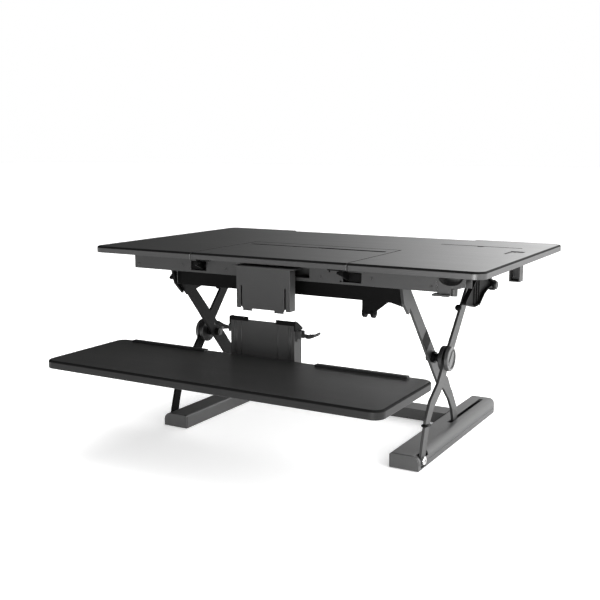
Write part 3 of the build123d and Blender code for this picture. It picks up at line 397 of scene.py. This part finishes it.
def extruded(outline, steps):
    """A closed outline of points, repeated at each step and joined up into a solid."""
    count = len(outline)
    verts = [point + step for step in steps for point in outline]
    faces = [(i, (i + 1) % count, (i + 1) % count + count, i + count) for i in range(count)]
    faces += [tuple(reversed(range(count))), tuple(range(count, 2 * count))]
    return verts, faces


def dome(place, axis, radius, height):
    """A rivet or pan-head screw, with a shallow recess in its head."""
    steps = [(radius, 0.0), (radius, height * 0.35), (radius * 0.86, height * 0.8), (radius * 0.6, height)]
    steps += [(radius * 0.36, height * 1.02), (radius * 0.32, height * 0.55), (radius * 0.05, height * 0.5)]
    return turned(steps, place, axis, 24)


def weld_bead(start, end, size=1.6 * MM):
    """A rippled weld bead between two points."""
    steps = max(6, int((end - start).length / (1.3 * MM)))
    path = [start.lerp(end, i / steps) for i in range(steps + 1)]

    def ripple(i):
        return size * (0.8 + 0.2 * math.cos(i * 2.1) + 0.1 * math.sin(i * 0.7))

    return swept(path, ripple)


# ------------------------------------------------------------------ pieces on the legs and bars


def crossbar_welds():
    """Weld beads where the upper crossbar and the base bar meet the plates beside them."""
    inset = 0.7 * MM
    for node, body in (("inner_leg_crossbar", "inner_legs"), ("base_crossbar", "base")):
        low, high = corners(node)
        beads = []
        for x in (low.x + inset, high.x - inset):
            ring = [(low.y, low.z), (high.y, low.z), (high.y, high.z), (low.y, high.z)]
            ring = [Vector((x, y, z)) for y, z in ring]
            beads += [weld_bead(ring[i], ring[(i + 1) % 4]) for i in range(4)]
        new_piece(node + ".welds", body, "powder_coat", joined(beads))


def leg_direction(name, lean):
    """Along the upper half of a leg, upwards: lean 1 for an outer leg, -1 for an inner one."""
    run = centre("upper_axle") - centre(name + "_hub_pin")
    return Vector((0.0, lean * run.y, run.z)).normalized()


def leg_bumpers():
    """The small round rubber bumper on the front edge of each outer leg, high up."""
    above_hub, past_leg = 118.18 * MM, 20.11 * MM
    stalk = [(3.0 * MM, -8.0 * MM), (3.0 * MM, 0.0)]
    head = [(5.0, 0.0), (7.5, 0.5), (7.5, 4.0), (6.0, 6.5), (2.0, 7.6)]
    head = [(radius * MM, height * MM) for radius, height in head]
    for name in SIDES:
        hub = centre(name + "_hub_pin")
        along = leg_direction(name, 1)
        out = Vector((0.0, -along.z, along.y))
        place = hub + along * above_hub + out * past_leg
        place.x = centre(name + "_outer_leg").x
        bumper = joined([turned(stalk, place, out, 24), turned(head, place, out, 32)])
        new_piece(name + "_outer_leg.bumper", "outer_legs", "rubber", bumper, finish=BLACK_AND_PAINTED_SHADE)


def leg_shadow_patches():
    """A thin black patch on each inner leg's outer face, above the middle pivot: a painted shadow."""
    above_hub, length, width, leg_plate = 59.5 * MM, 37.0 * MM, 31.0 * MM, 6.0 * MM
    bar_ends = corners("inner_leg_crossbar")
    for name, side in SIDES.items():
        along = leg_direction(name, -1)
        across = Vector((0.0, along.z, -along.y))
        middle = centre(name + "_hub_pin") + along * above_hub
        middle.x = bar_ends[side > 0].x + side * leg_plate
        shares = [(-0.5, 0.5), (0.5, 0.5), (0.5, -0.5), (-0.5, -0.5)]
        outline = [middle + along * (a * length) + across * (b * width) for a, b in shares]
        steps = [Vector((side * rise * MM, 0.0, 0.0)) for rise in (-0.2, 0.5)]
        pad = extruded(outline, steps)
        # The black patch paints a shadow on the leg.
        new_piece(name + "_inner_leg.shadow_patch", "inner_legs", "rubber", pad, False, BLACK_AND_PAINTED_SHADE)


def leg_clips():
    """The small dark clip round each outer leg, above the foot."""
    behind_bolt, above_bolt, half, drop = 21.0 * MM, 70.0 * MM, 13.2 * MM, 2.0 * MM
    for name in SIDES:
        low, high = corners(name + "_outer_leg")
        bolt = centre(name + "_lower_pivot_bolt")
        path = []
        for x, reach in ((low.x, -1), (low.x, 1), (high.x, 1), (high.x, -1), (low.x, -1)):
            path.append((x, bolt.y + behind_bolt + reach * half, bolt.z + above_bolt - reach * drop))
        clip = swept(path, 3.2 * MM, 12)
        new_piece(name + "_outer_leg.clip", "outer_legs", "black_plastic", clip, finish=BLACK_AND_PAINTED_SHADE)


# ------------------------------------------------------------------ pieces on the desktop


def slot_shade_sheet(x0, x1, rear, floor, top):
    """A thin L-shaped strip along the rear wall and the floor of a slot, which paints the shade inside it.
    """
    thick, deep = 0.4 * MM, 5.0 * MM
    outline = [(rear - deep, floor), (rear, floor), (rear, top), (rear - thick, top)]
    outline += [(rear - thick, floor + thick), (rear - deep, floor + thick)]
    outline = [Vector((0.0, y, z)) for y, z in outline]
    return extruded(outline, [Vector((x0, 0.0, 0.0)), Vector((x1, 0.0, 0.0))])


def slot_shade_sheets():
    """Dark strips in the tablet slot in the panel and the phone slot in the desktop: painted shade inside
    the slots.
    """
    low, high = corners("tilting_panel")
    floor, top = high.z - 8.95 * MM, high.z - 0.7 * MM
    narrow_rear, wide_rear, phone_rear = (low.y + step * MM for step in (225.95, 228.95, 442.95))
    narrow = slot_shade_sheet(-172 * MM, 0.0, narrow_rear, floor, top)
    wide = slot_shade_sheet(0.0, 169 * MM, wide_rear, floor, top)
    phone = slot_shade_sheet(227 * MM, 415 * MM, phone_rear, floor, top)
    tablet = joined([narrow, wide])
    # These dark strips paint the shade inside the slots.
    new_piece("tilting_panel.slot_shade_sheet", "tilting_panel", "rubber", tablet, False, BLACK_AND_PAINTED_SHADE)
    new_piece("main_desktop.slot_shade_sheet", "desk", "rubber", phone, False, BLACK_AND_PAINTED_SHADE)


def apron_rivets():
    """Rivets through the apron beside the hanger and near its ends."""
    low = corners("front_apron")[0]
    out_and_up = ((118, 12), (235, 16), (362, 10))
    spots = [(s * x * MM, low.y, low.z + z * MM) for s in (-1, 1) for x, z in out_and_up]
    heads = [dome(spot, (0, -1, 0), 3.0 * MM, 1.3 * MM) for spot in spots]
    new_piece("front_apron.rivets", "desk", "powder_coat", joined(heads))


def hanger_screws():
    """Screws through the hanger's side tab into the apron."""
    x = corners("tray_hanger")[0].x + 5.5 * MM
    apron = corners("front_apron")[0]
    y = apron.y - 2.5 * MM
    heads = [dome((x, y, apron.z + up * MM), (0, -1, 0), 2.8 * MM, 1.6 * MM) for up in (10.5, 20.5)]
    new_piece("tray_hanger.screws", "desk", "screw_black", joined(heads))


def handle_caps():
    """A ribbed cap over each release handle's pivot pin."""
    steps = [(8.8, -3.4), (9.2, -2.6), (8.4, -1.8), (9.2, -1.0), (8.4, -0.2)]
    steps += [(9.2, 0.6), (8.6, 1.4), (6.0, 2.0), (5.2, 1.2), (0.4, 1.2)]
    steps = [(radius * MM, height * MM) for radius, height in steps]
    for name, side in SIDES.items():
        box = corners(name + "_handle_bracket")
        place = (box[side > 0].x, centre(name + "_handle_bracket").y, box[0].z + 10 * MM)
        cap = turned(steps, place, (side, 0, 0), 40)
        new_piece(name + "_handle_bracket.cap", "desk", "black_plastic", cap)


def strut_collars():
    """Rolled collars at both ends of each gas strut's cylinder."""
    for name in SIDES:
        low, high = corners(name + "_strut_cylinder")
        middle = centre(name + "_strut_cylinder")
        radius = (high.x - low.x) / 2
        proud = radius + 0.9 * MM
        steps = [(radius, -2.0 * MM), (proud, -1.2 * MM), (proud, 1.2 * MM), (radius, 2.0 * MM)]
        ends = (low.y + 6 * MM, high.y - 4 * MM)
        rings = [turned(steps, (middle.x, y, middle.z), (0, 1, 0), 40) for y in ends]
        new_piece(name + "_strut_cylinder.collars", "desk", "strut_black", joined(rings))


# ------------------------------------------------------------------ pieces on the tray and the feet


def dock_ribs():
    """The pressed ribs down the dock's front face."""
    front = corners("dock_guides")[0].y + 1.5 * MM
    bottom, top = corners("keyboard_tray")[1].z + 3 * MM, corners("tray_dock")[1].z - 5 * MM
    ribs = []
    for x in (-69.0, -64.0, -52.0, 39.0, 66.5, 71.0):
        ribs.append(swept([(x * MM, front, bottom), (x * MM, front, top)], 0.9 * MM))
    new_piece("tray_dock.ribs", "tray", "powder_coat", joined(ribs))


def latch_grips():
    """Grip ribs across each latch's finger pad: how far in from its tip, down, and their half length."""
    ribs = ((24.0, 7.9, 7.5), (19.0, 7.6, 8.5), (14.0, 6.7, 8.5), (9.0, 5.2, 7.5))
    for name, side in SIDES.items():
        box = corners(name + "_tray_latch")
        tip, top, y = box[side > 0].x, box[1].z, centre(name + "_tray_latch").y
        bars = []
        for inward, down, half in ribs:
            x, z = tip - side * inward * MM, top - down * MM
            bars.append(swept([(x, y + t * half * MM, z) for t in (-1.0, -0.5, 0.0, 0.5, 1.0)], 0.9 * MM))
        new_piece(name + "_tray_latch.grips", "latch_" + name, "black_plastic", joined(bars))


def foot_seams():
    """The dark seam between each foot and its front cap."""
    bend, chamfer, arc_steps = 17 * MM, 3 * MM, 8
    for name, side in SIDES.items():
        low, high = corners(name + "_foot")
        inner, outer = (low.x, high.x) if side > 0 else (high.x, low.x)
        path = [(inner, low.y, low.z + 2 * MM), (inner, low.y, high.z - chamfer)]
        path.append((inner + side * chamfer, low.y, high.z))
        for k in range(arc_steps + 1):
            angle = math.pi / 2 * (1 - k / arc_steps)
            x = outer - side * bend * (1 - math.cos(angle))
            path.append((x, low.y, high.z - bend * (1 - math.sin(angle))))
        path.append((outer, low.y, low.z + 12 * MM))
        new_piece(name + "_foot.seam", "base", "rubber", swept(path, 0.55 * MM, 6))


def extra_pieces():
    crossbar_welds()
    leg_bumpers()
    leg_shadow_patches()
    slot_shade_sheets()
    apron_rivets()
    hanger_screws()
    dock_ribs()
    latch_grips()
    leg_clips()
    handle_caps()
    foot_seams()
    strut_collars()


# ------------------------------------------------------------------ studio


def area_light(name, place, target, size, watts):
    """A rectangular light that the camera doesn't see, turned towards its target."""
    light = bpy.data.lights.new(name, "AREA")
    light.shape = "RECTANGLE"
    light.size, light.size_y = size
    light.energy = watts
    lamp = in_scene(name, light)
    lamp.location = place
    lamp.rotation_euler = (Vector(target) - Vector(place)).to_track_quat("-Z", "Y").to_euler()
    lamp.visible_camera = False
    return lamp


# The surround: which way it brightens, over what span, how steeply, and its two levels
BRIGHT_SIDE = (0.92, 0.39, 0.0)
SURROUND_SPAN = (-0.5, 0.15)
SURROUND_POWER = 4.5
SURROUND_LEVELS = (0.03, 3.9)


def studio_world():
    """White behind the object, and a soft surround that brightens towards the right."""
    world = bpy.data.worlds.new("studio")
    bpy.context.scene.world = world
    world.use_nodes = True
    w = Wiring(world.node_tree)
    w.tree.nodes.clear()
    where = w.add("ShaderNodeTexCoord").outputs["Generated"]
    side = w.add("ShaderNodeVectorMath", operation="DOT_PRODUCT")
    side.inputs[1].default_value = BRIGHT_SIDE
    w.link(where, side.inputs[0])
    parts = w.add("ShaderNodeSeparateXYZ")
    w.link(where, parts.inputs[0])
    share = w.maths("POWER", w.ramp(side.outputs["Value"], *SURROUND_SPAN), SURROUND_POWER)
    share = w.maths("MULTIPLY", share, w.ramp(parts.outputs["Z"], 0.3, 0.7, 1.0, 0.4))
    surround = w.add("ShaderNodeBackground")
    w.link(w.ramp(share, 0.0, 1.0, *SURROUND_LEVELS), surround.inputs["Strength"])
    backdrop = w.add("ShaderNodeBackground")
    backdrop.inputs["Color"].default_value = (1, 1, 1, 1)
    mix = w.add("ShaderNodeMixShader")
    w.link(w.add("ShaderNodeLightPath").outputs["Is Camera Ray"], mix.inputs[0])
    w.link(surround.outputs[0], mix.inputs[1])
    w.link(backdrop.outputs[0], mix.inputs[2])
    w.link(mix.outputs[0], w.add("ShaderNodeOutputWorld").inputs[0])


def studio_floor():
    half = 30.0
    rim = [(-half, -half, 0), (half, -half, 0), (half, half, 0), (-half, half, 0)]
    mesh = bpy.data.meshes.new("floor")
    mesh.from_pydata(rim, [], [(0, 1, 2, 3)])
    mesh.materials.append(floor_paint())
    in_scene("floor", mesh)


def camera():
    data = bpy.data.cameras.new("camera")
    data.sensor_width = 36.0
    data.lens = 54.2
    seer = in_scene("camera", data)
    seer.location = (0.9991, -1.7619, 0.658)
    seer.rotation_euler = (math.radians(80.516), 0.0, math.radians(29.786))
    bpy.context.scene.camera = seer


def studio():
    bpy.context.scene.view_settings.view_transform = "Standard"
    studio_world()
    studio_floor()
    camera()
    area_light("key", (2.6, -0.6, 1.5), (0.2, 0.0, 0.25), (1.6, 1.6), 34.0)
    area_light("front", (0.6, -2.1, 0.16), (0.3, 0.0, 0.36), (0.9, 0.3), 26.0)
    overhead = area_light("top", (0.3, 0.4, 3.0), (0.0, 0.0, 0.0), (3.0, 3.0), 120.0)
    overhead.visible_glossy = False


paint_frame()
extra_pieces()
studio()
